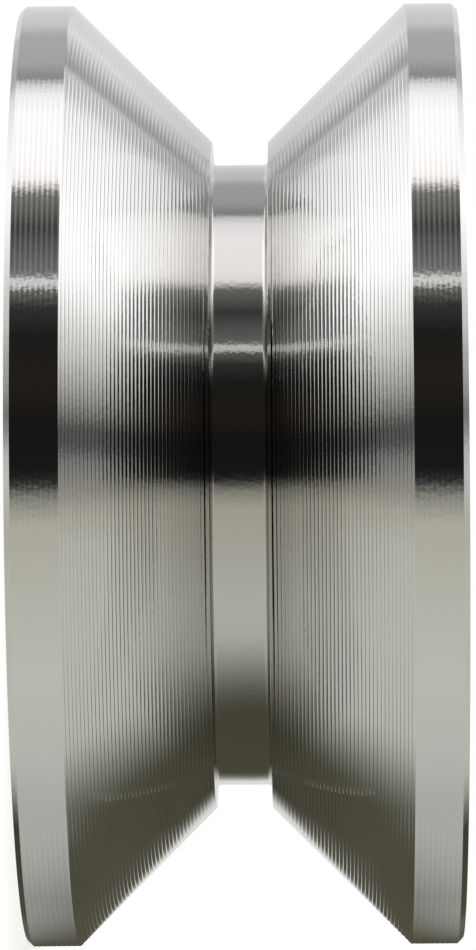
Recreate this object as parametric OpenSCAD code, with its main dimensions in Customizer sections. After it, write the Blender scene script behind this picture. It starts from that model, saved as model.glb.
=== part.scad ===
// V groove wheel on two sealed ball bearings.
// Millimetres. The wheel stands on an end face: its axis is +Z, and the origin
// is on the axis at the middle of the groove.

/* [Wheel] */
// Diameter over the rims
wheel_d = 50; // [47:0.5:80]
// Width between the end faces
wheel_w = 23; // [22:0.25:30]
// Width of the V groove at the rims
groove_w = 17.5; // [15:0.25:18.5]
// Angle between the two flanks of the V
groove_angle = 90; // [85:1:95]
// Width of the relief channel at the bottom of the V
channel_w = 3; // [2:0.1:4]
// Depth of the relief channel below the end of the flanks
channel_depth = 1.25; // [0.5:0.05:2]
// Radius in the two corners of the relief channel
channel_fillet = 0.3; // [0.1:0.05:0.5]
// Chamfer on the outer edge of each rim
rim_chamfer = 0.3; // [0.1:0.05:0.8]
// Broken edge where the V meets the rims
crest_break = 0.12; // [0.05:0.01:0.4]

/* [Hub] */
// Diameter of the hole through the shoulder
shoulder_d = 22; // [21:0.5:23]
// Depth of the end recess outside each retaining ring groove
recess_depth = 0.9; // [0.6:0.05:1.5]
// Chamfer at the mouth of each bearing seat
mouth_chamfer = 0.4; // [0.2:0.05:0.6]

/* [Bearings] */
// Bore of the inner ring
bore_d = 10; // [8:0.5:11]
// Outside diameter of the outer ring
bearing_d = 26; // [25:0.5:28]
// Width of both rings
bearing_w = 8; // [7.8:0.1:8.2]
// Depth of the raceways below the shoulders of the rings
race_depth = 0.8; // [0.6:0.05:0.9]
// Chamfer on the ring edges
ring_chamfer = 0.3; // [0.1:0.05:0.5]
// Balls in each bearing
ball_count = 7; // [6:1:8]
// Ball diameter
ball_d = 4.7625; // [4.4:0.05:4.8]
// Raceway radius as a share of the ball diameter
race_conformity = 0.515; // [0.51:0.005:0.54]
// Gap between a ball and each raceway
ball_gap = 0.03; // [0.02:0.005:0.05]

/* [Cages] */
// Thickness of the sheet that the cage halves are pressed from
cage_t = 0.35; // [0.25:0.05:0.4]
// Radial width of the cage ribbon
cage_w = 2.2; // [1.8:0.1:2.4]
// Gap between a ball and its pocket
pocket_gap = 0.08; // [0.05:0.01:0.12]
// Shank diameter of a cage rivet
rivet_d = 0.7; // [0.5:0.05:0.8]
// Head diameter of a cage rivet
rivet_head_d = 1.2; // [1:0.05:1.4]
// Height of each rivet head
rivet_head_h = 0.25; // [0.15:0.05:0.35]

/* [Seals] */
// Thickness of a seal
seal_t = 0.7; // [0.5:0.05:0.75]
// Depth of a seal below the face of the rings
seal_depth = 0.2; // [0.15:0.05:0.3]
// Radial step from the outer ring's shoulder out to the seal's seat
seal_step = 0.7; // [0.5:0.05:0.8]
// Depth of the snap groove that the seal's bead sits in
bead_depth = 0.2; // [0.1:0.05:0.3]
// Gap between the seal's lip and the inner ring
lip_gap = 0.1; // [0.05:0.01:0.2]
// Depth of the ring pressed into the seal's outer face
seal_dish = 0.15; // [0.05:0.05:0.25]

/* [Spacer sleeve] */
// Outside diameter of the sleeve
sleeve_d = 13.5; // [12.5:0.1:14]
// Difference between the sleeve's bore and the bearing bore
sleeve_bore_gap = 0.2; // [0.05:0.05:0.4]

/* [Retaining rings] */
// Thickness of a retaining ring
clip_t = 1.2; // [1:0.05:1.25]
// Depth of its groove in the bearing seat
clip_groove_depth = 0.6; // [0.4:0.05:0.7]
// Width of the groove over the ring's thickness
clip_side_gap = 0.1; // [0.05:0.05:0.2]
// Radial width of the ring opposite its gap
clip_w = 2.9; // [2.6:0.1:3.2]
// How much narrower the ring is beside its gap
clip_taper = 0.9; // [0.5:0.1:1.2]
// Diameter of the two eyes for the pliers
eye_d = 2; // [1.6:0.1:2.2]
// Wall around each eye
eye_wall = 0.9; // [0.7:0.1:1.1]
// Distance of the eyes in from the ring's outer edge
eye_inset = 2.4; // [2.2:0.1:2.6]
// Angle from the middle of the gap to each eye
eye_angle = 21; // [19:1:26]

/* [Fits] */
// Radial gap of the parts that are pressed or snapped in
seat_gap = 0.02; // [0.01:0.005:0.04]

/* [Hidden] */
$fn = 128;
cut = 0.5;

wheel_r = wheel_d / 2;
half_w = wheel_w / 2;
crest_half = groove_w / 2;
channel_half = channel_w / 2;
flank_slope = tan(groove_angle / 2);
// Radius at which the flanks run into the relief channel
flank_end_r = wheel_r - (crest_half - channel_half) / flank_slope;
channel_r = flank_end_r - channel_depth;

// From each end face inwards: the recess, the retaining ring, the bearing, and
// the shoulder that keeps the two bearings apart.
clip_groove_w = clip_t + clip_side_gap;
clip_z = half_w - recess_depth - clip_groove_w;
bearing_z = clip_z - bearing_w / 2;
shoulder_half = clip_z - bearing_w;
seat_r = bearing_d / 2 + seat_gap;

// The balls run midway between the bore and the outside of the bearing.
pitch_r = (bore_d + bearing_d) / 4;
ball_r = ball_d / 2;
race_r = ball_d * race_conformity;
inner_race_r = pitch_r - ball_r - ball_gap;
outer_race_r = pitch_r + ball_r + ball_gap;
inner_land_r = inner_race_r + race_depth;
outer_land_r = outer_race_r - race_depth;
ball_step = 360 / ball_count;

seal_top = bearing_w / 2 - seal_depth;
seal_bottom = seal_top - seal_t;
seal_r = outer_land_r + seal_step;
bead_top = seal_bottom + seal_t / 2;
lip_r = inner_land_r + lip_gap;

clip_groove_r = seat_r + clip_groove_depth;
clip_r = clip_groove_r - seat_gap;
eye_r = eye_d / 2 + eye_wall;
eye_place = clip_r - eye_inset;

SIDES = ["upper", "lower"];
SIDE_PARTS = [
    "outer_ring", "inner_ring", "cage_outside_half", "cage_inside_half",
    "cage_rivets", "outside_seal", "inside_seal", "retaining_ring"
];

STAINLESS = "#c6c8c4";
BEARING_STEEL = "#b4b7ba";
BALL_STEEL = "#d9dbdd";
CAGE_STEEL = "#a4a59f";
SPRING_STEEL = "#3f4144";
SEAL_RUBBER = "#1c1c1d";

// Turns a section drawn with the radius along X and the height along Y.
module turned() {
    rotate_extrude() children();
}

module both_ends() {
    children();
    mirror([0, 1]) children();
}

// A straight-sided band of a section, from one radius and height to another.
module band(r_from, r_to, y_from, y_to) {
    translate([r_from, y_from]) square([r_to - r_from, y_to - y_from]);
}

// The right-angled triangle that a chamfer takes off or adds, with its corner
// at the local origin and its legs along X and Y.
module bevel_corner(size_x, size_y) {
    polygon([[0, 0], [size_x, 0], [0, size_y]]);
}

// A quarter fillet that fills the corner at the local origin.
module fillet_corner(radius) {
    difference() {
        square(radius);
        translate([radius, radius]) circle(radius);
    }
}

// ---- Wheel body ----

// Upper half of the V, from the middle of the wheel out past the rim.
module v_section() {
    run_out = cut * flank_slope;
    polygon([
        [flank_end_r, -cut],
        [flank_end_r, channel_half],
        [wheel_r, crest_half],
        [wheel_r + cut, crest_half + run_out],
        [wheel_r + cut, -cut]
    ]);
}

module crest_break_section() {
    polygon([
        [wheel_r - crest_break / flank_slope, crest_half - crest_break],
        [wheel_r, crest_half + crest_break],
        [wheel_r + crest_break, crest_half - crest_break]
    ]);
}

module channel_section() {
    difference() {
        band(channel_r, flank_end_r + cut, -channel_half, channel_half);
        both_ends() translate([channel_r, channel_half]) mirror([0, 1]) fillet_corner(channel_fillet);
    }
}

module bearing_seat_section() {
    band(0, seat_r, shoulder_half, half_w + cut);
    band(0, clip_groove_r, clip_z, clip_z + clip_groove_w);
    translate([seat_r, half_w]) mirror([0, 1]) bevel_corner(mouth_chamfer, mouth_chamfer);
}

module wheel_section() {
    difference() {
        band(shoulder_d / 2, wheel_r, -half_w, half_w);
        both_ends() {
            v_section();
            crest_break_section();
            bearing_seat_section();
            translate([wheel_r, half_w]) mirror([1, 1]) bevel_corner(rim_chamfer, rim_chamfer);
        }
        channel_section();
    }
}

module wheel_body() {
    color(STAINLESS) turned() wheel_section();
}

// ---- Bearing, drawn about its own middle with its outside face upwards ----

// The chamfers on the two edges of a ring's inner or outer wall.
module bore_edges(r) {
    both_ends() translate([r, bearing_w / 2]) mirror([0, 1]) bevel_corner(ring_chamfer, ring_chamfer);
}

module rim_edges(r) {
    both_ends() translate([r, bearing_w / 2]) mirror([1, 1]) bevel_corner(ring_chamfer, ring_chamfer);
}

module inner_ring() {
    color(BEARING_STEEL) turned() difference() {
        band(bore_d / 2, inner_land_r, -bearing_w / 2, bearing_w / 2);
        bore_edges(bore_d / 2);
        rim_edges(inner_land_r);
        translate([inner_race_r + race_r, 0]) circle(race_r);
    }
}

module outer_ring() {
    color(BEARING_STEEL) turned() difference() {
        band(outer_land_r, bearing_d / 2, -bearing_w / 2, bearing_w / 2);
        rim_edges(bearing_d / 2);
        both_ends() {
            band(0, seal_r + seat_gap, seal_bottom, bearing_w / 2 + cut);
            band(0, seal_r + bead_depth + seat_gap, seal_bottom, bead_top + seat_gap);
        }
        translate([outer_race_r - race_r, 0]) circle(race_r);
    }
}

module ball(i) {
    color(BALL_STEEL) rotate([0, 0, ball_step * (i - 1)]) translate([pitch_r, 0, 0]) sphere(ball_r);
}

module at_balls() {
    for (i = [0:ball_count - 1]) rotate([0, 0, ball_step * i]) translate([pitch_r, 0, 0]) children();
}

module at_rivets() {
    rotate([0, 0, ball_step / 2]) at_balls() children();
}

// One pressed half: a ribbon that is flat between the balls and cupped over
// each of them. It is cut to its width from a cupped sheet.
module cage_half() {
    pocket_r = ball_r + pocket_gap;
    color(CAGE_STEEL) intersection() {
        turned() band(pitch_r - cage_w / 2, pitch_r + cage_w / 2, 0, pocket_r + cage_t + cut);
        difference() {
            union() {
                translate([0, 0, -cut]) cylinder(h = cut + cage_t, r = pitch_r + cage_w);
                at_balls() sphere(pocket_r + cage_t);
            }
            at_balls() sphere(pocket_r);
            at_rivets() cylinder(h = 4 * cage_t, r = rivet_d / 2 + seat_gap, center = true);
        }
    }
}

// A rivet with a low domed head on each side of the two cage halves.
module cage_rivet() {
    dome_r = (pow(rivet_head_d / 2, 2) + pow(rivet_head_h, 2)) / (2 * rivet_head_h);
    cylinder(h = 2 * cage_t, r = rivet_d / 2, center = true);
    for (way = [0, 1]) mirror([0, 0, way]) intersection() {
        translate([0, 0, cage_t + rivet_head_h - dome_r]) sphere(dome_r);
        translate([0, 0, cage_t]) cylinder(h = 2 * rivet_head_h, r = rivet_head_d);
    }
}

module cage_rivets() {
    color(CAGE_STEEL) at_rivets() cage_rivet();
}

// A flat rubber ring with a bead that snaps into the outer ring, a dished
// face over its steel stiffener, and a thin lip beside the inner ring.
module seal() {
    dish_from = lip_r + seal_t;
    dish_to = seal_r - seal_t;
    color(SEAL_RUBBER) turned() {
        difference() {
            band(lip_r, seal_r, seal_bottom, seal_top);
            band(dish_from, dish_to, seal_top - seal_dish, seal_top + cut);
            translate([lip_r, seal_bottom]) bevel_corner(seal_t / 2, seal_t / 2);
        }
        band(dish_to, seal_r + bead_depth, seal_bottom, bead_top);
    }
}

// ---- Sleeve and retaining ring ----

module spacer_sleeve() {
    color(BEARING_STEEL) turned()
        band((bore_d + sleeve_bore_gap) / 2, sleeve_d / 2, -shoulder_half, shoulder_half);
}

// Sector of a half angle about +X, large enough to cut the ring's gap.
module gap_sector(half_angle, reach) {
    polygon([[0, 0], reach * [cos(half_angle), -sin(half_angle)], reach * [cos(half_angle), sin(half_angle)]]);
}

// The ring is widest opposite its gap and has an eye at each end.
module retaining_ring() {
    inner_r = clip_r - clip_w + clip_taper / 2;
    end_angle = eye_angle - asin(eye_r / 2 / eye_place);
    color(SPRING_STEEL) translate([0, 0, clip_z]) linear_extrude(clip_t) difference() {
        union() {
            difference() {
                circle(clip_r);
                translate([clip_taper / 2, 0]) circle(inner_r);
                gap_sector(end_angle, 2 * clip_r);
            }
            for (way = [-1, 1]) rotate(way * eye_angle) translate([eye_place, 0]) circle(eye_r);
        }
        for (way = [-1, 1]) rotate(way * eye_angle) translate([eye_place, 0]) circle(eye_d / 2);
    }
}

// ---- Assembly ----

module on_side(side) {
    mirror([0, 0, side == "lower" ? 1 : 0]) children();
}

// The middle of a bearing.
module in_bearing(side) {
    on_side(side) translate([0, 0, bearing_z]) children();
}

wheel_body();
spacer_sleeve();
for (side = SIDES) {
    in_bearing(side) outer_ring();
    in_bearing(side) inner_ring();
    in_bearing(side) cage_half();
    in_bearing(side) mirror([0, 0, 1]) cage_half();
    in_bearing(side) cage_rivets();
    in_bearing(side) seal();
    in_bearing(side) mirror([0, 0, 1]) seal();
    on_side(side) retaining_ring();
    for (i = [1:ball_count])
        in_bearing(side) ball(i);
}
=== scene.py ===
"""V groove wheel on two sealed ball bearings: its turned body, its finishes and its studio."""

import math

import bpy
from mathutils import Matrix, Vector


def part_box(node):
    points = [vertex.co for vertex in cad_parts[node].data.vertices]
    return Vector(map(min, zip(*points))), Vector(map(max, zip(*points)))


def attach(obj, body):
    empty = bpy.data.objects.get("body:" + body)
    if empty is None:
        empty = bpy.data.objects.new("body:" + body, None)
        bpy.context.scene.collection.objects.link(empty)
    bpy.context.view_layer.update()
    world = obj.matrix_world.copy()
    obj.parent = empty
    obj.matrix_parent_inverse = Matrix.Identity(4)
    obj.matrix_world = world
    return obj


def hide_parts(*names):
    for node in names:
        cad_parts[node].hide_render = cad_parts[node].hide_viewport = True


bl_info = {
    "name": "V Groove Wheel",
    "version": (1, 0, 0),
    "blender": (4, 5, 0),
    "location": "View3D > Sidebar > V Groove Wheel",
    "description": "Turned stainless V groove wheel on two sealed ball bearings",
    "category": "Object",
}

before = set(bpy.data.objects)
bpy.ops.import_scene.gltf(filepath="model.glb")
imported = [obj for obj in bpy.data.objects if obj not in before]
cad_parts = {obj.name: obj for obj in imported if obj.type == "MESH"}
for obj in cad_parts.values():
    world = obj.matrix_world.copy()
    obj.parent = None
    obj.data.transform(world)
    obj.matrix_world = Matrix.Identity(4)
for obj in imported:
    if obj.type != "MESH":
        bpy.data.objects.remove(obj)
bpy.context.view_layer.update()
WHEEL_LOW, WHEEL_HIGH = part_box("wheel_body")

MM = 0.001
SIDES = ("upper", "lower")
BALLS = range(1, 8)


# ---- Properties ----


def length_property(name, description, millimetres):
    """A length that the sidebar shows in scene units and scene.py holds in metres."""
    return bpy.props.FloatProperty(
        name=name,
        description=description,
        default=millimetres * MM,
        min=0.0,
        precision=5,
        subtype="DISTANCE",
        unit="LENGTH",
    )


def hex_property(name, description, value):
    """A colour written as an sRGB hex value."""
    return bpy.props.StringProperty(name=name, description=description, default=value)


def share_property(name, description, value):
    """A share from 0 to 1."""
    return bpy.props.FloatProperty(
        name=name, description=description, default=value, min=0.0, max=1.0
    )


class WheelSizes(bpy.types.PropertyGroup):
    """Sizes of the turned wheel body."""

    groove_width: length_property("Groove width", "Width of the V between the two rims", 17.5)
    channel_width: length_property(
        "Channel width", "Width of the relief channel at the bottom of the V", 3.0
    )
    channel_depth: length_property(
        "Channel depth", "Depth of the relief channel below the flanks", 1.25
    )
    channel_fillet: length_property(
        "Channel fillet", "Radius in the corners of the relief channel", 0.3
    )
    rim_chamfer: length_property("Rim chamfer", "Chamfer on the outer edge of each rim", 0.3)
    crest_break: length_property("Crest break", "Broken edge where the V meets a rim", 0.03)
    shoulder_radius: length_property(
        "Shoulder radius", "Radius of the hole through the shoulder", 11.0
    )
    shoulder_half: length_property(
        "Shoulder half width", "Half of the shoulder between the bearings", 1.3
    )
    seat_radius: length_property("Seat radius", "Radius of the bearing seats", 13.02)
    clip_groove_radius: length_property(
        "Ring groove radius", "Radius of the retaining ring grooves", 13.62
    )
    clip_groove_width: length_property(
        "Ring groove width", "Width of the retaining ring grooves", 1.3
    )
    recess_depth: length_property("Recess depth", "Depth from an end face to its ring groove", 0.9)
    mouth_chamfer: length_property("Mouth chamfer", "Chamfer at the mouth of each seat", 0.4)
    feed: length_property("Rim feed", "Distance between two tool marks on the rims", 0.262)
    cusp_slope: bpy.props.FloatProperty(
        name="Tool mark slope",
        description="Slope of a tool mark at the cusp it leaves",
        default=math.radians(12.5),
        subtype="ANGLE",
        unit="ROTATION",
    )
    upper_feed: length_property(
        "Upper feed", "Distance between two tool marks on the upper flank", 0.2698
    )
    lower_feed: length_property(
        "Lower feed", "Distance between two tool marks on the lower flank", 0.2572
    )
    upper_first: share_property(
        "Upper first mark", "Place of the upper flank's first cusp, by its feed", 0.51
    )
    lower_first: share_property(
        "Lower first mark", "Place of the lower flank's first cusp, by its feed", 0.32
    )
    upper_keen: share_property(
        "Upper keen share", "Share of an upper tool mark's long side that stays steep", 0.1
    )
    lower_keen: share_property(
        "Lower keen share", "Share of a lower tool mark's long side that stays steep", 0.05
    )
    turns: bpy.props.IntProperty(
        name="Facets", description="Steps in one turn of the section", default=160, min=32
    )


class FinishColours(bpy.types.PropertyGroup):
    """Colours of the finishes, as sRGB hex values."""

    stainless: hex_property("Stainless steel", "Bright turned stainless steel", "#e6e6e4")
    # The groove colour is painted shade: the stainless steel made darker at the bottom of the
    # groove, where shade falls.
    groove: hex_property(
        "Groove bottom", "Stainless steel turned duller, at the bottom of the groove", "#d4d3d0"
    )
    bearing_steel: hex_property("Bearing steel", "Ground bearing steel", "#c9ccce")
    ball_steel: hex_property("Ball steel", "Lapped bearing balls", "#e2e4e6")
    cage_steel: hex_property("Cage steel", "Pressed low carbon steel strip", "#b3b3ad")
    rubber: hex_property("Seal rubber", "Moulded nitrile rubber", "#1b1b1c")
    spring_steel: hex_property("Spring steel", "Phosphated and oiled spring steel", "#35373a")
    floor: hex_property("Floor", "Matt white studio floor", "#f0f0ee")


class StudioSettings(bpy.types.PropertyGroup):
    """The camera and the surroundings."""

    camera_distance: length_property(
        "Camera distance", "From the wheel's axis to the camera", 325.2
    )
    camera_height: length_property(
        "Camera height", "Of the camera above the middle of the groove", 4.13
    )
    focal_length: bpy.props.FloatProperty(
        name="Focal length", description="Focal length of the lens", default=231.1, unit="CAMERA"
    )
    sensor_width: bpy.props.FloatProperty(
        name="Sensor width", description="Width of the sensor", default=36.0, unit="CAMERA"
    )
    camera_roll: bpy.props.FloatProperty(
        name="Roll", description="Turn of the camera about its line of sight", default=0.0075,
        subtype="ANGLE", unit="ROTATION",
    )
    shift_x: bpy.props.FloatProperty(
        name="Shift X", description="Sideways shift of the lens", default=-0.0867, precision=4
    )
    shift_y: bpy.props.FloatProperty(
        name="Shift Y", description="Upward shift of the lens", default=-0.0007, precision=4
    )
    floor_size: length_property("Floor size", "Side of the square floor", 1600.0)
    card_size: length_property("Card size", "Side of the square that carries the card", 60.0)
    card_gap: length_property("Card gap", "Gap between the rims and the card", 0.3)


# ---- Nodes ----


def srgb(value, alpha=1.0):
    """Turns an sRGB hex value such as #c0c0c0 to the linear colour that a socket takes."""
    channels = [int(value[i : i + 2], 16) / 255 for i in (1, 3, 5)]
    return (*[c / 12.92 if c <= 0.04045 else ((c + 0.055) / 1.055) ** 2.4 for c in channels], alpha)


def add(tree, kind, inputs=None, **settings):
    """Adds a node with its settings, and fills its sockets with values or links."""
    made = tree.nodes.new(kind)
    for name, value in settings.items():
        setattr(made, name, value)
    for key, value in (inputs or {}).items():
        if isinstance(value, bpy.types.NodeSocket):
            tree.links.new(value, made.inputs[key])
        else:
            made.inputs[key].default_value = value
    return made


def math_node(tree, operation, *values):
    """One step of arithmetic."""
    step = add(tree, "ShaderNodeMath", dict(enumerate(values)), operation=operation)
    return step.outputs["Value"]


def colour_ramp(tree, value, low, high, colours):
    """Colours by the place of a value between two limits."""
    place = add(
        tree, "ShaderNodeMapRange", {"Value": value, "From Min": low, "From Max": high}
    )
    ramp = add(tree, "ShaderNodeValToRGB", {"Fac": place.outputs["Result"]})
    stops = ramp.color_ramp.elements
    stops.remove(stops[1])
    for i, (at, colour) in enumerate(colours):
        stop = stops.new((at - low) / (high - low)) if i else stops[0]
        stop.position = (at - low) / (high - low)
        stop.color = srgb(colour)
    return ramp.outputs["Color"]


def smooth_step(tree, value, start, end):
    """Rises from 0 to 1 between two values."""
    step = add(
        tree, "ShaderNodeMapRange",
        {"Value": value, "From Min": start, "From Max": end}, interpolation_type="SMOOTHSTEP",
    )
    return step.outputs["Result"]


def mix_colours(tree, factor, first, second, blend="MIX"):
    """Mixes two colours."""
    mix = add(
        tree, "ShaderNodeMix", {0: factor, 6: first, 7: second},
        data_type="RGBA", blend_type=blend,
    )
    return mix.outputs[2]


def new_material(name):
    """An empty material and its node tree."""
    material = bpy.data.materials.new(name)
    material.use_nodes = True
    material.node_tree.nodes.clear()
    return material, material.node_tree


def finish_material(tree, shader):
    """Sends a shader to the material's output."""
    add(tree, "ShaderNodeOutputMaterial", {"Surface": shader.outputs["BSDF"]})


def turned_stainless(colours):
    """Turned 304 stainless steel.

    A carbide tool leaves bright, near mirror tool marks all the way round, so the metal
    mirrors the studio in bands and smears them a little along the axis.
    """
    material, tree = new_material("stainless steel, turned")
    place = add(tree, "ShaderNodeTexCoord").outputs["Object"]
    # The tool skips by a few tenths of a millimetre as it cuts, which roughens band edges.
    skips = add(
        tree, "ShaderNodeTexNoise",
        {"Vector": place, "Scale": 1 / (0.3 * MM), "Detail": 2.0, "Roughness": 0.5},
    )
    bump = add(
        tree, "ShaderNodeBump",
        {"Height": skips.outputs["Fac"], "Distance": 0.003 * MM, "Strength": 1.0},
    )
    # The end faces are faced off at a feed of 0.2 mm, which leaves fine rings round the axis.
    height = add(tree, "ShaderNodeSeparateXYZ", {"Vector": place}).outputs["Z"]
    height = math_node(tree, "ABSOLUTE", height)
    rings = add(
        tree, "ShaderNodeTexWave",
        {"Vector": place, "Scale": math.pi / 10 / (0.2 * MM), "Distortion": 0.0},
        wave_type="RINGS", rings_direction="Z",
    )
    facing = add(
        tree, "ShaderNodeBump",
        {
            "Height": rings.outputs["Fac"],
            "Distance": 0.0025 * MM,
            "Strength": smooth_step(
                tree, height, WHEEL_HIGH[2] - 0.02 * MM, WHEEL_HIGH[2] - 0.01 * MM
            ),
            "Normal": bump.outputs["Normal"],
        },
    )
    # Painted shade: the metal's colour darkens towards the bottom of the groove, standing in for
    # the shade that falls there.
    clear_of_painted_shade = add(
        tree, "ShaderNodeMapRange", {"Value": height, "From Min": 2.3 * MM, "From Max": 6.3 * MM}
    )
    colour = mix_colours(
        tree, clear_of_painted_shade.outputs["Result"], srgb(colours.groove), srgb(colours.stainless)
    )
    around = add(tree, "ShaderNodeTangent", direction_type="RADIAL", axis="Z")
    shader = add(
        tree, "ShaderNodeBsdfPrincipled",
        {
            "Base Color": colour,
            "Metallic": 1.0,
            "Roughness": 0.045,
            "Anisotropic": 0.5,
            "Anisotropic Rotation": 0.25,
            "Tangent": around.outputs["Tangent"],
            "Normal": facing.outputs["Normal"],
        },
    )
    finish_material(tree, shader)
    return material


def ground_bearing_steel(colours):
    """Ground and hardened chrome steel: grinding lines round the ring blur its gloss."""
    material, tree = new_material("chrome steel, ground")
    around = add(tree, "ShaderNodeTangent", direction_type="RADIAL", axis="Z")
    place = add(tree, "ShaderNodeTexCoord").outputs["Object"]
    grain = add(
        tree, "ShaderNodeTexNoise", {"Vector": place, "Scale": 1 / (0.2 * MM), "Detail": 2.0}
    )
    roughness = add(
        tree, "ShaderNodeMapRange",
        {"Value": grain.outputs["Fac"], "To Min": 0.24, "To Max": 0.3},
    )
    shader = add(
        tree, "ShaderNodeBsdfPrincipled",
        {
            "Base Color": srgb(colours.bearing_steel),
            "Metallic": 1.0,
            "Roughness": roughness.outputs["Result"],
            "Anisotropic": 0.6,
            "Tangent": around.outputs["Tangent"],
        },
    )
    finish_material(tree, shader)
    return material


def polished_ball_steel(colours):
    """Lapped chrome steel balls, as good as a mirror."""
    material, tree = new_material("chrome steel, lapped")
    place = add(tree, "ShaderNodeTexCoord").outputs["Object"]
    wear = add(
        tree, "ShaderNodeTexNoise", {"Vector": place, "Scale": 1 / (0.8 * MM), "Detail": 2.0}
    )
    roughness = add(
        tree, "ShaderNodeMapRange", {"Value": wear.outputs["Fac"], "To Min": 0.04, "To Max": 0.08}
    )
    shader = add(
        tree, "ShaderNodeBsdfPrincipled",
        {
            "Base Color": srgb(colours.ball_steel),
            "Metallic": 1.0,
            "Roughness": roughness.outputs["Result"],
        },
    )
    finish_material(tree, shader)
    return material


def pressed_cage_steel(colours):
    """Cold rolled strip, pressed: a soft grey gloss with faint rolling marks."""
    material, tree = new_material("steel strip, pressed")
    place = add(tree, "ShaderNodeTexCoord").outputs["Object"]
    marks = add(
        tree, "ShaderNodeTexNoise", {"Vector": place, "Scale": 1 / (0.25 * MM), "Detail": 3.0}
    )
    bump = add(tree, "ShaderNodeBump", {"Height": marks.outputs["Fac"], "Distance": 0.003 * MM})
    shader = add(
        tree, "ShaderNodeBsdfPrincipled",
        {
            "Base Color": srgb(colours.cage_steel),
            "Metallic": 1.0,
            "Roughness": 0.36,
            "Normal": bump.outputs["Normal"],
        },
    )
    finish_material(tree, shader)
    return material


def seal_rubber(colours):
    """Moulded nitrile rubber: black, matt, with the mould's fine spark eroded grain."""
    material, tree = new_material("nitrile rubber, moulded")
    place = add(tree, "ShaderNodeTexCoord").outputs["Object"]
    grain = add(
        tree, "ShaderNodeTexNoise", {"Vector": place, "Scale": 1 / (0.12 * MM), "Detail": 4.0}
    )
    bump = add(
        tree, "ShaderNodeBump",
        {"Height": grain.outputs["Fac"], "Distance": 0.02 * MM, "Strength": 0.5},
    )
    shader = add(
        tree, "ShaderNodeBsdfPrincipled",
        {
            "Base Color": srgb(colours.rubber),
            "Roughness": 0.55,
            "IOR": 1.52,
            "Normal": bump.outputs["Normal"],
        },
    )
    finish_material(tree, shader)
    return material


def phosphated_spring_steel(colours):
    """Carbon spring steel, phosphated and oiled: dark grey, fine crystals, a faint oily sheen."""
    material, tree = new_material("spring steel, phosphated")
    place = add(tree, "ShaderNodeTexCoord").outputs["Object"]
    crystals = add(
        tree, "ShaderNodeTexNoise", {"Vector": place, "Scale": 1 / (0.1 * MM), "Detail": 3.0}
    )
    bump = add(
        tree, "ShaderNodeBump",
        {"Height": crystals.outputs["Fac"], "Distance": 0.01 * MM, "Strength": 0.6},
    )
    shader = add(
        tree, "ShaderNodeBsdfPrincipled",
        {
            "Base Color": srgb(colours.spring_steel),
            "Metallic": 0.6,
            "Roughness": 0.42,
            "Normal": bump.outputs["Normal"],
        },
    )
    finish_material(tree, shader)
    return material


FINISHES = {
    "turned_stainless": turned_stainless,
    "ground_bearing_steel": ground_bearing_steel,
    "polished_ball_steel": polished_ball_steel,
    "pressed_cage_steel": pressed_cage_steel,
    "seal_rubber": seal_rubber,
    "phosphated_spring_steel": phosphated_spring_steel,
}


# The finishes made so far. The frame's own materials may carry the same names.
FINISHED = {}


def give_material(piece, name):
    """Gives a piece one finish all over, made the first time it is asked for."""
    if name not in FINISHED:
        FINISHED[name] = FINISHES[name](bpy.context.scene.wheel_colours)
    material = FINISHED[name]
    if not piece.material_slots:
        piece.data.materials.append(material)
    for place in piece.material_slots:
        place.material = material


# ---- Modelling ----


def start_point(name, point):
    """A new object in edit mode with one selected vertex at the point."""
    bpy.ops.object.select_all(action="DESELECT")
    bpy.ops.mesh.primitive_plane_add(size=MM)
    piece = bpy.context.object
    piece.name = name
    piece.data.name = name
    bpy.ops.object.mode_set(mode="EDIT")
    bpy.ops.mesh.select_mode(type="VERT")
    bpy.ops.mesh.select_all(action="SELECT")
    bpy.ops.mesh.merge(type="CENTER")
    bpy.ops.transform.translate(value=point)
    return piece


def draw_section(name, section):
    """Draws a section of (radius, height) points above the X axis, corner by corner."""
    corners = [Vector((radius, 0, height)) for radius, height in section]
    piece = start_point(name, corners[0])
    for before, after in zip(corners, corners[1:]):
        bpy.ops.mesh.extrude_vertices_move(TRANSFORM_OT_translate={"value": after - before})
    return piece


def turn_section(steps):
    """Spins the drawn section all the way round the axis and closes its seam."""
    bpy.ops.mesh.select_all(action="SELECT")
    bpy.ops.mesh.spin(steps=steps, angle=math.tau, center=(0, 0, 0), axis=(0, 0, 1))
    bpy.ops.mesh.select_all(action="SELECT")
    bpy.ops.mesh.remove_doubles(threshold=0.001 * MM)
    bpy.ops.object.mode_set(mode="OBJECT")


def close_piece(piece, smooth_below):
    """Points the faces outwards and smooths the edges that are flatter than an angle."""
    bpy.ops.object.mode_set(mode="EDIT")
    bpy.ops.mesh.select_all(action="SELECT")
    bpy.ops.mesh.normals_make_consistent(inside=False)
    bpy.ops.object.mode_set(mode="OBJECT")
    bpy.ops.object.shade_smooth_by_angle(angle=smooth_below)


def arc(middle, radius, start, end, steps):
    """Points of an arc in the section, from one angle in degrees to another."""
    return [
        (
            middle[0] + radius * math.cos(math.radians(start + (end - start) * i / steps)),
            middle[1] + radius * math.sin(math.radians(start + (end - start) * i / steps)),
        )
        for i in range(steps + 1)
    ]


# A tool mark on a flank: the share of its width that the step takes at the crest and gains
# towards the foot, how its depth fades on the way, and the slopes of its long side.
CREST_STEP = 0.16
STEP_GROWTH = 0.22
FADE_START = 2.1
FADE_RATE = 1.8
LONG_SIDE_SLOPES = (0.04, 0.08, 0.12, 0.15)
KEEN_SLOPE = 0.28


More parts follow.
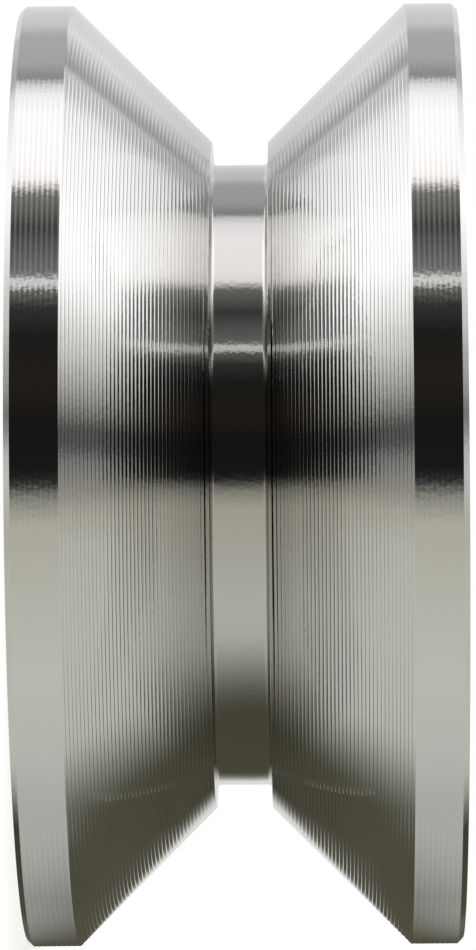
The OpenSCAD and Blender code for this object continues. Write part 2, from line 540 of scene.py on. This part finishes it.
def tool_marks(start, end, feed, first, hollow_at):
    """The hollows that a tool leaves from one point of the section to another.

    The cusps lie on the straight line, and the metal is on its right. The first one after
    the start is a share of the feed away from it. The hollow at a share of the way is given
    as (share of its width, share of its width in depth) points between its two cusps.
    """
    start, end = Vector(start), Vector(end)
    length = (end - start).length
    along_line = (end - start) / length
    inwards = Vector((along_line.y, -along_line.x))
    whole = math.floor(length / feed - first - 0.5)
    cusps = [0.0, *[feed * (first + mark) for mark in range(whole + 1)], length]
    points = [
        tuple(start + along_line * (low + (high - low) * along) + inwards * (high - low) * depth)
        for low, high in zip(cusps, cusps[1:])
        for along, depth in [(0, 0), *hollow_at(low / length)]
    ]
    return points + [tuple(end)]


def round_hollow(slope, steps=4):
    """The even hollow of a round nosed tool, by its slope at the cusps."""
    shares = [step / steps for step in range(1, steps)]
    return [(along, slope * along * (1 - along)) for along in shares]


def leaning_hollow(place, keen):
    """The hollow of a tool that leans: one steep side, and a long side that grows steeper.

    It is narrow and deep at the crest, and wider and shallower at the foot of the flank.
    The last share of the long side, next to the cusp, stays keen all the way.
    """
    step_share = CREST_STEP + STEP_GROWTH * place
    fade = min(1.0, FADE_START - FADE_RATE * place)
    even = (1 - keen) / len(LONG_SIDE_SLOPES)
    long_side = [(slope * fade, even) for slope in LONG_SIDE_SLOPES] + [(KEEN_SLOPE, keen)]
    along, depth, points = 1.0, 0.0, []
    for slope, share in reversed(long_side):
        width = share * (1 - step_share)
        along -= width
        depth += slope * width
        points.append((along, depth))
    return points[::-1]


class WHEEL_OT_wheel_body(bpy.types.Operator):
    """Models the wheel body with its tool marks, in place of the plain turned solid."""

    bl_idname = "wheel.wheel_body"
    bl_label = "Wheel Body"

    def execute(self, context):
        sizes = context.scene.wheel_sizes
        rim, end = WHEEL_HIGH[0], WHEEL_HIGH[2]
        crest = sizes.groove_width / 2
        channel_half = sizes.channel_width / 2
        flank_foot = rim - (crest - channel_half)
        floor = flank_foot - sizes.channel_depth
        fillet = sizes.channel_fillet
        clip_top = end - sizes.recess_depth
        clip_bottom = clip_top - sizes.clip_groove_width
        seat, mouth = sizes.seat_radius, sizes.mouth_chamfer
        seats = [
            (sizes.shoulder_radius, 0),
            (sizes.shoulder_radius, sizes.shoulder_half),
            (seat, sizes.shoulder_half),
            (seat, clip_bottom),
            (sizes.clip_groove_radius, clip_bottom),
            (sizes.clip_groove_radius, clip_top),
            (seat, clip_top),
            (seat, end - mouth),
            (seat + mouth, end),
            (rim - sizes.rim_chamfer, end),
        ]
        rim_marks = tool_marks(
            (rim, end - sizes.rim_chamfer), (rim, crest + sizes.crest_break),
            sizes.feed, 1.0, lambda place: round_hollow(sizes.cusp_slope),
        )
        fillet_points = arc((floor + fillet, channel_half - fillet), fillet, 90, 180, 10)
        halves = []
        for feed, first, keen in (
            (sizes.upper_feed, sizes.upper_first, sizes.upper_keen),
            (sizes.lower_feed, sizes.lower_first, sizes.lower_keen),
        ):
            # On the flanks the tool leaves a narrow step towards the rim and a long side past it.
            flank_marks = tool_marks(
                (rim - sizes.crest_break, crest - sizes.crest_break),
                (flank_foot, channel_half),
                feed, first, lambda place: leaning_hollow(place, keen),
            )
            # The first flank mark has no step, so the crest stays sharp.
            halves.append(seats + rim_marks + flank_marks[1:] + fillet_points)
        upper, lower = halves
        # The lower half runs back to the start, where the seam is closed.
        section = upper + [(radius, -height) for radius, height in reversed(lower)]
        body = draw_section("turned_wheel_body", section)
        turn_section(sizes.turns)
        close_piece(body, math.radians(12))
        give_material(body, "turned_stainless")
        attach(body, "wheel")
        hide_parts("wheel_body")
        return {"FINISHED"}


class WHEEL_OT_bearings(bpy.types.Operator):
    """Gives the rings, balls and cages of both bearings their finishes."""

    bl_idname = "wheel.bearings"
    bl_label = "Bearings"

    def execute(self, context):
        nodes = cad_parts
        for side in SIDES:
            for part in ("outer_ring", "inner_ring"):
                give_material(nodes[f"{side}_{part}"], "ground_bearing_steel")
            for part in ("cage_outside_half", "cage_inside_half", "cage_rivets"):
                give_material(nodes[f"{side}_{part}"], "pressed_cage_steel")
            for part in ("outside_seal", "inside_seal"):
                give_material(nodes[f"{side}_{part}"], "seal_rubber")
            for ball in BALLS:
                give_material(nodes[f"{side}_ball_{ball}"], "polished_ball_steel")
        give_material(nodes["spacer_sleeve"], "ground_bearing_steel")
        return {"FINISHED"}


class WHEEL_OT_retaining_rings(bpy.types.Operator):
    """Gives the two retaining rings their finish."""

    bl_idname = "wheel.retaining_rings"
    bl_label = "Retaining Rings"

    def execute(self, context):
        for side in SIDES:
            give_material(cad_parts[f"{side}_retaining_ring"], "phosphated_spring_steel")
        return {"FINISHED"}


# ---- Stage ----

# Light that the studio sends from round the wheel, by its bearing about the wheel's axis
# in degrees, with 0 at the camera: a white panel on one side, a black cloth round the lens
# and a pale table on the other side.
AROUND = (
    (-180, "#cccccc"),
    (-166, "#cccccc"),
    (-153, "#c4c4c4"),
    (-143, "#c0c0c0"),
    (-136, "#a6a6a8"),
    (-120, "#a2a2a3"),
    (-112.5, "#868687"),
    (-109.5, "#d2d1d2"),
    (-105.5, "#efedef"),
    (-97, "#faf8fa"),
    (-82, "#f9f5f7"),
    (-76, "#f0ecec"),
    (-72, "#6a6a68"),
    (-67, "#565654"),
    (-62, "#383838"),
    (-51, "#606260"),
    (-44, "#545450"),
    (-41, "#303030"),
    (-34, "#1c1c1b"),
    (-22, "#221e1a"),
    (-12, "#151514"),
    (-0.8, "#181817"),
    (2.2, "#2e2e2d"),
    (6, "#86867f"),
    (12, "#aba89d"),
    (50, "#b9bbb4"),
    (72, "#b2b3ad"),
    (88, "#a9a9a5"),
    (125, "#aaaaa7"),
    (137, "#c2c2c0"),
    (156, "#d8d8d6"),
    (180, "#cccccc"),
)
# Light that comes from nearer the wheel's axis, from the panel's side to the table's,
# by the share of the direction that points down to the table.
ENDS = (
    (-0.60, "#fdfeff"),
    (-0.47, "#fdfeff"),
    (-0.41, "#e8e8e7"),
    (-0.38, "#dadad9"),
    (-0.34, "#cccbc9"),
    (-0.30, "#c2c1bf"),
    (-0.26, "#afaeab"),
    (-0.22, "#9c9b98"),
    (-0.17, "#7a7977"),
    (-0.13, "#525251"),
    (-0.08, "#545454"),
    (-0.04, "#787776"),
    (0.0, "#848380"),
    (0.043, "#8a8881"),
    (0.10, "#a4a297"),
    (0.19, "#b2b2ab"),
    (0.60, "#b8b8b1"),
)
# A dim glow above and below the dark band between the panel and the black cloth.
BESIDE = (
    (-175, "#000000"),
    (-162, "#404040"),
    (-154, "#606060"),
    (-149, "#909090"),
    (-143, "#000000"),
    (-108, "#000000"),
    (-98, "#a4a4a6"),
    (-84, "#a4a4a6"),
    (-74, "#545452"),
    (-47, "#505050"),
    (-43, "#000000"),
)
# Thin gaps of light at the cloth's edge, which the tool marks break into sparkle.
GAPS = (
    (-49.3, "#000000"),
    (-48.7, "#8c8a88"),
    (-48.1, "#202020"),
    (-47.3, "#e0e0e4"),
    (-46.6, "#303030"),
    (-45.9, "#d8dad6"),
    (-45.2, "#181818"),
    (-44.2, "#000000"),
)
# More light just behind the wheel's ends than in front of them, from the same share.
BEHIND_ENDS = (
    (-0.60, "#484848"),
    (-0.50, "#404040"),
    (-0.44, "#000000"),
    (-0.24, "#000000"),
    (-0.19, "#4a4a4a"),
    (-0.12, "#565656"),
    (-0.05, "#8e8e90"),
    (0.0, "#909090"),
    (0.043, "#808080"),
    (0.10, "#404040"),
    (0.15, "#000000"),
)
# How the panel dims towards its end, by the share that points along the axis.
PANEL_END = (
    (0.40, "#a6a6a6"),
    (0.545, "#acacac"),
    (0.565, "#bcbcbc"),
    (0.59, "#d4d4d4"),
    (0.64, "#e2e2e2"),
    (0.70, "#ededed"),
    (0.76, "#f7f7f7"),
    (0.83, "#ffffff"),
)
STUDIO_LEVEL = 1.25
GAP_LEVEL = 1.8
# The ends' ramps run over this much of the share that points down, to either side of level.
ENDS_REACH = 0.6
# How far the panel's far edge swings back and the cloth's edges bow, in degrees of bearing.
PANEL_SWING = 26.0
CLOTH_BOW = 5.0
# How far the cloth reaches towards the wheel's ends, by the share that points to the camera.
CLOTH_REACH = 0.85
SHADE = "#3c3b32"
CARD_SHADE = "#4a493c"
# The shaded patch on the card: half its length and width, and the shift of its middle.
CARD_HALF_LENGTH = 15.7 * MM
CARD_HALF_WIDTH = 20 * MM
CARD_SHIFT = 0.5 * MM


def multiply(tree, first, second):
    """The product of two values."""
    return math_node(tree, "MULTIPLY", first, second)


def add_light(tree, first, second):
    """Two lights together."""
    return mix_colours(tree, 1.0, first, second, "ADD")


def multiply_light(tree, first, second):
    """One light, dimmed or raised by another colour."""
    return mix_colours(tree, 1.0, first, second, "MULTIPLY")


def around_ramp(tree, bearing, colours):
    """Colours by a bearing in degrees."""
    return colour_ramp(tree, bearing, -180, 180, colours)


def ends_ramp(tree, down, colours):
    """Colours by the share of the direction that points down."""
    return colour_ramp(tree, down, -ENDS_REACH, ENDS_REACH, colours)


def warp_bearing(tree, bearing, steep):
    """The bearing, shifted where the panel and the cloth aren't parallel to the axis."""
    # The panel's far edge swings back towards the wheel's ends.
    spread = math_node(
        tree, "MULTIPLY_ADD", math_node(tree, "POWER", steep, 4.0), PANEL_SWING, 1.0
    )
    past_panel = math_node(tree, "MINIMUM", math_node(tree, "ADD", bearing, 90.0), 0.0)
    squeezed = math_node(tree, "DIVIDE", past_panel, spread)
    before_panel = math_node(tree, "SUBTRACT", bearing, past_panel)
    warped = math_node(tree, "ADD", before_panel, squeezed)
    # The cloth's edges bow the other way.
    in_front = add(
        tree, "ShaderNodeMapRange",
        {"Value": bearing, "From Min": -60.0, "From Max": -50.0, "To Max": CLOTH_BOW},
    ).outputs["Result"]
    bow = multiply(tree, in_front, math_node(tree, "POWER", steep, 2.0))
    return math_node(tree, "ADD", warped, bow)


def light_round_wheel(tree, bearing, steep):
    """Light from the panel, the cloth and the table, with the gaps and the glow beside them."""
    warped = warp_bearing(tree, bearing, steep)
    around = around_ramp(tree, warped, AROUND)
    level = (GAP_LEVEL, GAP_LEVEL, GAP_LEVEL, 1)
    gaps = multiply_light(tree, around_ramp(tree, warped, GAPS), level)
    around = add_light(tree, around, gaps)
    beside = smooth_step(tree, steep, 0.08, 0.34)
    glow = mix_colours(tree, beside, (0, 0, 0, 1), around_ramp(tree, bearing, BESIDE))
    return add_light(tree, around, glow)


def light_at_ends(tree, down, away, steep):
    """Light from nearer the wheel's axis, past its two ends."""
    towards_table = smooth_step(tree, down, -0.72, -0.6)
    panel_end = mix_colours(
        tree, towards_table, (1, 1, 1, 1), colour_ramp(tree, steep, 0.4, 0.9, PANEL_END)
    )
    ends = multiply_light(tree, ends_ramp(tree, down, ENDS), panel_end)
    past_wheel = smooth_step(tree, away, -0.03, 0.03)
    behind = mix_colours(tree, past_wheel, (0, 0, 0, 1), ends_ramp(tree, down, BEHIND_ENDS))
    return add_light(tree, ends, behind)


def studio_world():
    """White to the camera; panels, black cloth and a pale table to everything else."""
    world = bpy.data.worlds.new("studio")
    world.use_nodes = True
    tree = world.node_tree
    tree.nodes.clear()
    direction = add(tree, "ShaderNodeTexCoord").outputs["Generated"]
    parts = add(tree, "ShaderNodeSeparateXYZ", {"Vector": direction})
    down, away, axial = (parts.outputs[name] for name in "XYZ")
    near = multiply(tree, away, -1.0)
    bearing = math_node(tree, "DEGREES", math_node(tree, "ARCTAN2", down, near))
    steep = math_node(tree, "ABSOLUTE", axial)
    low = light_round_wheel(tree, bearing, steep)
    ends = light_at_ends(tree, down, away, steep)
    # The black cloth reaches further towards the wheel's ends than the rest.
    cloth = multiply(tree, math_node(tree, "MAXIMUM", near, 0.0), CLOTH_REACH)
    towards_end = math_node(tree, "SUBTRACT", steep, cloth)
    light = mix_colours(tree, smooth_step(tree, towards_end, 0.4, 0.53), low, ends)
    # Past the wheel the table lies in its shade.
    shade = multiply(
        tree, smooth_step(tree, away, 0.38, 0.58), smooth_step(tree, down, 0.0, 0.16)
    )
    shade = multiply(tree, shade, smooth_step(tree, steep, 0.15, 0.37))
    light = mix_colours(tree, shade, light, srgb(SHADE))
    seen = add(tree, "ShaderNodeLightPath")
    lit = add(tree, "ShaderNodeBackground", {"Color": light, "Strength": STUDIO_LEVEL})
    plain_white = add(tree, "ShaderNodeBackground", {"Color": (1, 1, 1, 1), "Strength": 1.0})
    both = add(
        tree, "ShaderNodeMixShader",
        {0: seen.outputs["Is Camera Ray"], 1: lit.outputs[0], 2: plain_white.outputs[0]},
    )
    add(tree, "ShaderNodeOutputWorld", {"Surface": both.outputs["Shader"]})
    return world


def shaded_card():
    """The dark patch of table close under the groove, which only the metal mirrors."""
    material, tree = new_material("card, shaded")
    place = add(tree, "ShaderNodeTexCoord").outputs["Object"]
    spot = add(
        tree, "ShaderNodeMapping",
        {
            "Vector": place,
            "Location": (0, CARD_SHIFT / CARD_HALF_LENGTH, 0),
            "Scale": (0, 1 / CARD_HALF_LENGTH, 1 / CARD_HALF_WIDTH),
        },
    )
    spread = add(
        tree, "ShaderNodeVectorMath", {0: spot.outputs["Vector"]}, operation="ABSOLUTE"
    )
    # Both shares of the way out, added up, give the patch its diamond shape.
    far = add(
        tree, "ShaderNodeVectorMath", {0: spread.outputs["Vector"], 1: (0, 1, 1)},
        operation="DOT_PRODUCT",
    )
    inside = smooth_step(tree, far.outputs["Value"], 1.6, 0.55)
    seen = add(tree, "ShaderNodeLightPath")
    shown = multiply(tree, inside, seen.outputs["Is Glossy Ray"])
    dark = add(
        tree, "ShaderNodeEmission", {"Color": srgb(CARD_SHADE), "Strength": STUDIO_LEVEL}
    )
    clear = add(tree, "ShaderNodeBsdfTransparent")
    both = add(tree, "ShaderNodeMixShader", {0: shown, 1: clear.outputs[0], 2: dark.outputs[0]})
    add(tree, "ShaderNodeOutputMaterial", {"Surface": both.outputs["Shader"]})
    return material


def floor_material(colours):
    """Matt white card. It keeps the wheel's soft shadow and is otherwise as white as the world."""
    material, tree = new_material("card, matt white")
    seen = add(tree, "ShaderNodeLightPath")
    card = add(tree, "ShaderNodeBsdfDiffuse", {"Color": srgb(colours.floor)})
    glow = add(
        tree, "ShaderNodeMapRange",
        {"Value": seen.outputs["Is Camera Ray"], "To Min": 0.0, "To Max": 0.65},
    )
    lift = add(tree, "ShaderNodeEmission", {"Strength": glow.outputs["Result"]})
    lit = add(tree, "ShaderNodeAddShader", {0: card.outputs[0], 1: lift.outputs[0]})
    clear = add(tree, "ShaderNodeBsdfTransparent")
    both = add(
        tree, "ShaderNodeMixShader",
        {0: seen.outputs["Is Glossy Ray"], 1: lit.outputs["Shader"], 2: clear.outputs[0]},
    )
    add(tree, "ShaderNodeOutputMaterial", {"Surface": both.outputs["Shader"]})
    return material


class WHEEL_OT_stage(bpy.types.Operator):
    """Sets the floor, the surroundings and the camera."""

    bl_idname = "wheel.stage"
    bl_label = "Stage"

    def execute(self, context):
        scene = context.scene
        studio = scene.wheel_studio
        bpy.ops.object.select_all(action="DESELECT")
        bpy.ops.mesh.primitive_plane_add(size=studio.floor_size, location=(0, 0, WHEEL_LOW[2]))
        floor = context.object
        floor.name = "studio_floor"
        floor.data.materials.append(floor_material(scene.wheel_colours))
        bpy.ops.object.select_all(action="DESELECT")
        bpy.ops.mesh.primitive_plane_add(
            size=studio.card_size,
            location=(WHEEL_HIGH[0] + studio.card_gap, 0, 0),
            rotation=(0, math.pi / 2, 0),
        )
        bpy.ops.object.transform_apply(location=True, rotation=True, scale=True)
        card = context.object
        card.name = "shaded_card"
        card.data.materials.append(shaded_card())
        scene.world = studio_world()
        bpy.ops.object.camera_add()
        camera = context.object
        camera.name = "studio_camera"
        roll = studio.camera_roll
        right = Vector((math.sin(roll), 0, math.cos(roll)))
        up = Vector((-math.cos(roll), 0, math.sin(roll)))
        back = right.cross(up)
        turned = Matrix((right, up, back)).transposed().to_4x4()
        place = Matrix.Translation((0, -studio.camera_distance, studio.camera_height))
        camera.matrix_world = place @ turned
        camera.data.lens = studio.focal_length
        camera.data.sensor_width = studio.sensor_width
        camera.data.shift_x = studio.shift_x
        camera.data.shift_y = studio.shift_y
        camera.data.clip_start = 0.01
        scene.camera = camera
        scene.view_settings.view_transform = "Standard"
        return {"FINISHED"}


class WHEEL_PT_sidebar(bpy.types.Panel):
    """Lists the wheel's sizes, colours and steps."""

    bl_idname = "WHEEL_PT_sidebar"
    bl_label = "V Groove Wheel"
    bl_space_type = "VIEW_3D"
    bl_region_type = "UI"
    bl_category = "V Groove Wheel"

    def draw(self, context):
        scene = context.scene
        for group in (scene.wheel_sizes, scene.wheel_colours, scene.wheel_studio):
            box = self.layout.box()
            for name in group.bl_rna.properties.keys():
                if name not in ("rna_type", "name"):
                    box.prop(group, name)
        for step in STEPS:
            self.layout.operator(step.bl_idname)


STEPS = (WHEEL_OT_wheel_body, WHEEL_OT_bearings, WHEEL_OT_retaining_rings, WHEEL_OT_stage)
GROUPS = {"wheel_sizes": WheelSizes, "wheel_colours": FinishColours, "wheel_studio": StudioSettings}


def register():
    for name, group in GROUPS.items():
        bpy.utils.register_class(group)
        setattr(bpy.types.Scene, name, bpy.props.PointerProperty(type=group))
    for step in STEPS:
        bpy.utils.register_class(step)
    bpy.utils.register_class(WHEEL_PT_sidebar)


def unregister():
    bpy.utils.unregister_class(WHEEL_PT_sidebar)
    for step in reversed(STEPS):
        bpy.utils.unregister_class(step)
    for name, group in GROUPS.items():
        delattr(bpy.types.Scene, name)
        bpy.utils.unregister_class(group)


def main():
    register()
    bpy.ops.wheel.wheel_body()
    bpy.ops.wheel.bearings()
    bpy.ops.wheel.retaining_rings()
    bpy.ops.wheel.stage()


if __name__ == "__main__":
    main()
